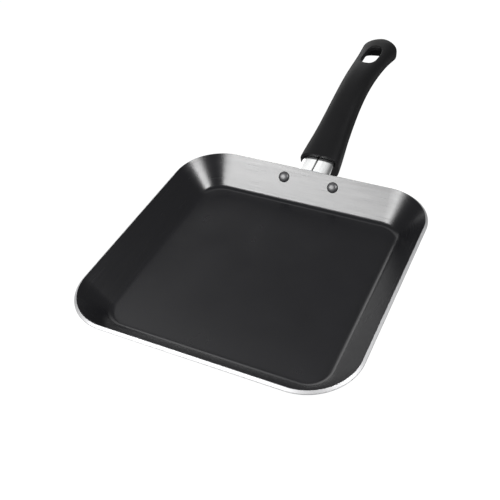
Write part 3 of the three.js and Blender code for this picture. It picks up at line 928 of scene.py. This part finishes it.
lip_flare = HOLE_LIP + LIP_CUT_FLARE
hole_rings = [hole_ring(-LIP_CUT_HIGH, lip_flare), hole_ring(-LIP_CUT_LOW, lip_flare)]
for turn in quarter_turn(LIP_STEPS)[1:]:
    depth = HOLE_LIP * (1 - math.cos(turn)) - LIP_OVERCUT
    hole_rings.append(hole_ring(depth, HOLE_LIP * (1 - math.sin(turn))))
hole_rings.append(hole_ring(2 * HOLLOW_SKIN, 0))
hole_cutter = stacked("hole_cutter", hole_rings)

socket_cutter = stacked(
    "socket_cutter",
    [
        neck_ring(GAP, -NECK_INSERT - GAP),
        neck_ring(GAP, -NECK_STRAIGHT),
        neck_ring(GAP, -SOCKET_CHAMFER),
        neck_ring(GAP + SOCKET_CHAMFER, 0),
        neck_ring(GAP + SOCKET_CHAMFER + SOCKET_CUT_OUT, SOCKET_CUT_OUT),
    ],
)


def about_screw(radius, height):
    """A ring about the grip screw's axis at a height on it."""
    ring = arc(0, -SCREW_FROM_MOUTH, radius, 0, 360, steps=64)[:-1]
    return [neck_frame @ Vector((x, height, z)) for x, z in ring]


washer_seat = -NECK_HALF_HEIGHT - GAP - SCREW_SEAT_WALL
bore_cutter = stacked(
    "bore_cutter",
    [
        about_screw(WASHER_RADIUS + GAP, -BORE_CUT_DOWN),
        about_screw(WASHER_RADIUS + GAP, washer_seat),
        about_screw(SCREW_HOLE_RADIUS, washer_seat),
        about_screw(SCREW_HOLE_RADIUS, 0),
    ],
)
cut_away(grip, [hollow_cutter, hole_cutter, socket_cutter, bore_cutter])
grip.data.materials.append(phenolic)
smooth(grip, angle=38)
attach(grip, "root")
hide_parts("handle_grip")

# Grip screw, washer and square nut: zinc-plated steel. The slotted screw goes up from the counterbore
# into the nut that lies in the neck, and draws the grip onto the neck.
FASTENER_EDGES = {"grip_screw": 0.25 * MM, "screw_washer": 0.2 * MM, "square_nut": 0.4 * MM}
FACET_WELD = 0.001 * MM
FLAT_WITHIN = math.radians(3)

# Zinc plating: a bright grey whose gloss varies in small spangles, about 1 mm across.
ZINC_SPANGLE = 1.11 * MM
zinc, tree = new_material("zinc_plated_steel")
coords = add(tree, "ShaderNodeTexCoord").outputs["Object"]
spangle = add(tree, "ShaderNodeTexNoise", {"Vector": coords, "Scale": 1 / ZINC_SPANGLE, "Detail": 2})
rough = add(
    tree,
    "ShaderNodeMapRange",
    {
        "Value": spangle.outputs[0],
        "From Min": NOISE_LOW,
        "From Max": NOISE_HIGH,
        "To Min": 0.28,
        "To Max": 0.42,
    },
)
shader = add(
    tree,
    "ShaderNodeBsdfPrincipled",
    {"Base Color": linear("#b9bcc0"), "Metallic": 1.0, "Roughness": rough.outputs[0]},
)
add(tree, "ShaderNodeOutputMaterial", {"Surface": shader.outputs[0]})

for node, edge in FASTENER_EDGES.items():
    bm = bmesh.new()
    bm.from_mesh(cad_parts[node].data)
    bmesh.ops.remove_doubles(bm, verts=bm.verts, dist=FACET_WELD)
    bmesh.ops.dissolve_limit(bm, angle_limit=FLAT_WITHIN, verts=bm.verts, edges=bm.edges)
    mesh = bpy.data.meshes.new(node + "_turned")
    bm.to_mesh(mesh)
    bm.free()
    fastener = plain_object(node + "_turned", mesh)
    bevelled(fastener, edge, angle=50, segments=2)
    fastener.data.materials.append(zinc)
    smooth(fastener, angle=35)
    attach(fastener, "root")
    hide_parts(node)

# Studio: a white floor that keeps a faint shadow and is clear from below, and a dim room with a white
# sweep behind the pan, brightest on the left, and a skylight that the neck mirrors. The rear wall mirrors
# two soft lights at the front left, and the corner on its left mirrors one on the right.
FLOOR_DROP = 0.2 * MM
FLOOR_HALF = 6
floor_mesh = bpy.data.meshes.new("studio_floor")
floor_signs = ((-1, -1), (1, -1), (1, 1), (-1, 1))
floor_corners = [(FLOOR_HALF * x, FLOOR_HALF * y, -FLOOR_DROP) for x, y in floor_signs]
floor_mesh.from_pydata(floor_corners, [], [(0, 1, 2, 3)])
floor = plain_object("studio_floor", floor_mesh)

# White paper: it glows white to the camera over a little matte paper, which takes the shadow. Metal and
# coating mirror it as white near the pan, and as dim behind the pan and on its right: painted shade that
# stands in for the pan's shadow there, and that only mirrors see.
PAPER_GLOW = 1.03
PAPER_GLOW_SHARE = 0.9
BACK_RIGHT = (0.5, 0.87, 0)
FRONT_RIGHT = (0.8, -0.6, 0)
paper, tree = new_material("white_paper")
path = add(tree, "ShaderNodeLightPath").outputs
coords = add(tree, "ShaderNodeTexCoord").outputs["Object"]
away = add(tree, "ShaderNodeVectorMath", {0: coords}, operation="LENGTH")
near = add(
    tree,
    "ShaderNodeMapRange",
    {"Value": away.outputs["Value"], "From Min": 0.3, "From Max": 0.7, "To Min": 1.0, "To Max": 0.0},
)
# Painted shade: the paper's level in mirrors falls behind the pan and on its right.
behind = add(tree, "ShaderNodeVectorMath", {0: coords, 1: BACK_RIGHT}, operation="DOT_PRODUCT")
back_white = add(
    tree,
    "ShaderNodeMapRange",
    {"Value": behind.outputs["Value"], "From Min": 0.12, "From Max": 0.2, "To Min": 1.0, "To Max": 0.12},
)
beside = add(tree, "ShaderNodeVectorMath", {0: coords, 1: FRONT_RIGHT}, operation="DOT_PRODUCT")
side_white = add(
    tree,
    "ShaderNodeMapRange",
    {"Value": beside.outputs["Value"], "From Min": 0.04, "From Max": 0.16, "To Min": 1.0, "To Max": 0.25},
)
white = add(
    tree, "ShaderNodeMath", {0: back_white.outputs[0], 1: side_white.outputs[0]}, operation="MINIMUM"
)
dim = add(tree, "ShaderNodeMath", {0: 1.0, 1: white.outputs[0]}, operation="SUBTRACT")
glowing = add(tree, "ShaderNodeMath", {0: near.outputs[0], 1: dim.outputs[0]}, operation="MAXIMUM")
mirrored = add(
    tree, "ShaderNodeMath", {0: path["Is Glossy Ray"], 1: path["Is Transmission Ray"]}, operation="MAXIMUM"
)
mirrored = add(
    tree, "ShaderNodeMath", {0: mirrored.outputs[0], 1: glowing.outputs[0]}, operation="MULTIPLY"
)
seen = add(tree, "ShaderNodeMath", {0: path["Is Camera Ray"], 1: mirrored.outputs[0]}, operation="MAXIMUM")
seen = add(tree, "ShaderNodeMath", {0: seen.outputs[0], 1: PAPER_GLOW_SHARE}, operation="MULTIPLY")
level = add(tree, "ShaderNodeMath", {0: path["Is Camera Ray"], 1: white.outputs[0]}, operation="MAXIMUM")
level = add(tree, "ShaderNodeMath", {0: level.outputs[0], 1: PAPER_GLOW}, operation="MULTIPLY")
matte = add(tree, "ShaderNodeBsdfDiffuse", {"Color": linear("#f0f0f0")})
glow = add(tree, "ShaderNodeEmission", {"Strength": level.outputs[0]})
above = add(tree, "ShaderNodeMixShader", {0: seen.outputs[0], 1: matte.outputs[0], 2: glow.outputs[0]})
below = add(tree, "ShaderNodeBsdfTransparent")
facing = add(tree, "ShaderNodeNewGeometry").outputs["Backfacing"]
mixed = add(tree, "ShaderNodeMixShader", {0: facing, 1: above.outputs[0], 2: below.outputs[0]})
add(tree, "ShaderNodeOutputMaterial", {"Surface": mixed.outputs[0]})
floor_mesh.materials.append(paper)

# Room: white to the camera, and otherwise the brightest of three things: a dim level all round, the
# white sweep low at the back, which ends towards the right, and the skylight, a band high at the back.
ROOM_LEVEL = 0.18
OPEN_SIDE = (0.86, 0.51, 0)
world = bpy.data.worlds.new("studio")
bpy.context.scene.world = world
world.use_nodes = True
tree = world.node_tree
tree.nodes.clear()
path = add(tree, "ShaderNodeLightPath").outputs
coords = add(tree, "ShaderNodeTexCoord").outputs["Generated"]
direction = add(tree, "ShaderNodeSeparateXYZ", {0: coords}).outputs
height = add(
    tree,
    "ShaderNodeMapRange",
    {"Value": direction["Z"], "From Min": 0.38, "From Max": 0.6, "To Min": 1.0, "To Max": 0.0},
)
to_back = add(
    tree,
    "ShaderNodeMapRange",
    {"Value": direction["Y"], "From Min": 0.25, "From Max": 0.55, "To Min": 0.0, "To Max": 1.0},
)
open_side = add(tree, "ShaderNodeVectorMath", {0: coords, 1: OPEN_SIDE}, operation="DOT_PRODUCT")
sweep_end = add(
    tree,
    "ShaderNodeMapRange",
    {"Value": open_side.outputs["Value"], "From Min": 0.3, "From Max": 0.7, "To Min": 1.0, "To Max": 0.0},
)
left = add(
    tree,
    "ShaderNodeMapRange",
    {"Value": direction["X"], "From Min": -0.6, "From Max": -0.1, "To Min": 2.8, "To Max": 1.0},
)
low_edge = add(
    tree,
    "ShaderNodeMapRange",
    {"Value": direction["Y"], "From Min": 0.28, "From Max": 0.36, "To Min": 0.0, "To Max": 1.0},
)
high_edge = add(
    tree,
    "ShaderNodeMapRange",
    {"Value": direction["Y"], "From Min": 0.49, "From Max": 0.55, "To Min": 1.0, "To Max": 0.0},
)
right_end = add(
    tree,
    "ShaderNodeMapRange",
    {"Value": direction["X"], "From Min": -0.25, "From Max": 0.75, "To Min": 1.7, "To Max": 0.0},
)
sweep = height
for part in (sweep_end, to_back, left):
    sweep = add(tree, "ShaderNodeMath", {0: sweep.outputs[0], 1: part.outputs[0]}, operation="MULTIPLY")
skylight = low_edge
for part in (high_edge, right_end):
    skylight = add(
        tree, "ShaderNodeMath", {0: skylight.outputs[0], 1: part.outputs[0]}, operation="MULTIPLY"
    )
level = sweep
for part in (ROOM_LEVEL, skylight.outputs[0], path["Is Camera Ray"]):
    level = add(tree, "ShaderNodeMath", {0: level.outputs[0], 1: part}, operation="MAXIMUM")
light = add(tree, "ShaderNodeBackground", {"Color": linear("#ffffff"), "Strength": level.outputs[0]})
add(tree, "ShaderNodeOutputWorld", {"Surface": light.outputs[0]})

# Soft lights: three area lamps, each facing the part of the wall that mirrors it.
LAMP_DISTANCE = 1.1


def soft_light(name, way, size, power, target):
    """An area lamp in a direction from a point of the pan, facing it."""
    lamp = bpy.data.lights.new(name, "AREA")
    lamp.shape = "RECTANGLE"
    lamp.size, lamp.size_y = size
    lamp.energy = power
    made = plain_object(name, lamp)
    way = Vector(way).normalized()
    made.location = Vector(target) + way * LAMP_DISTANCE
    made.rotation_euler = way.to_track_quat("Z", "Y").to_euler()


soft_light("key_softbox", (-0.3, -0.69, 0.65), size=(0.52, 0.28), power=12.8, target=(0.02, 0.105, 0.016))
soft_light("strip_softbox", (-0.57, -0.59, 0.59), size=(0.27, 0.28), power=3.5, target=(0.06, 0.105, 0.016))
soft_light("side_softbox", (0.78, -0.09, 0.62), size=(0.44, 0.26), power=13, target=(-0.1, 0.1, 0.016))

# Camera: the photograph's viewpoint, fitted to the rim, the rivets and the grip. Its axis goes through
# the middle of the tray's floor, and the shift frames the pan as the photograph does.
PHOTO_PIXELS = 500
FOCAL_PIXELS = 741.1
SHIFT_PIXELS = (-8.73, 23.27)
SENSOR_WIDTH = 36
CAMERA_DISTANCE = 0.62415
CAMERA_AZIMUTH = math.radians(28.6)
CAMERA_ELEVATION = math.radians(43.83)
CAMERA_ROLL = math.radians(-5.25)
camera_data = bpy.data.cameras.new("photo_camera")
camera_data.sensor_width = SENSOR_WIDTH
camera_data.lens = FOCAL_PIXELS / PHOTO_PIXELS * SENSOR_WIDTH
camera_data.shift_x = SHIFT_PIXELS[0] / PHOTO_PIXELS
camera_data.shift_y = SHIFT_PIXELS[1] / PHOTO_PIXELS
camera = plain_object("photo_camera", camera_data)
back = Vector(
    (
        math.sin(CAMERA_AZIMUTH) * math.cos(CAMERA_ELEVATION),
        -math.cos(CAMERA_AZIMUTH) * math.cos(CAMERA_ELEVATION),
        math.sin(CAMERA_ELEVATION),
    )
)
right = (-back).cross(Vector((0, 0, 1))).normalized()
turn = Matrix((right, right.cross(-back), back)).transposed()
turn = turn @ Matrix.Rotation(CAMERA_ROLL, 3, "Z")
camera.location = back * CAMERA_DISTANCE + Vector((0, 0, SHEET))
camera.rotation_euler = turn.to_euler()
bpy.context.scene.camera = camera
bpy.context.scene.view_settings.view_transform = "Standard"
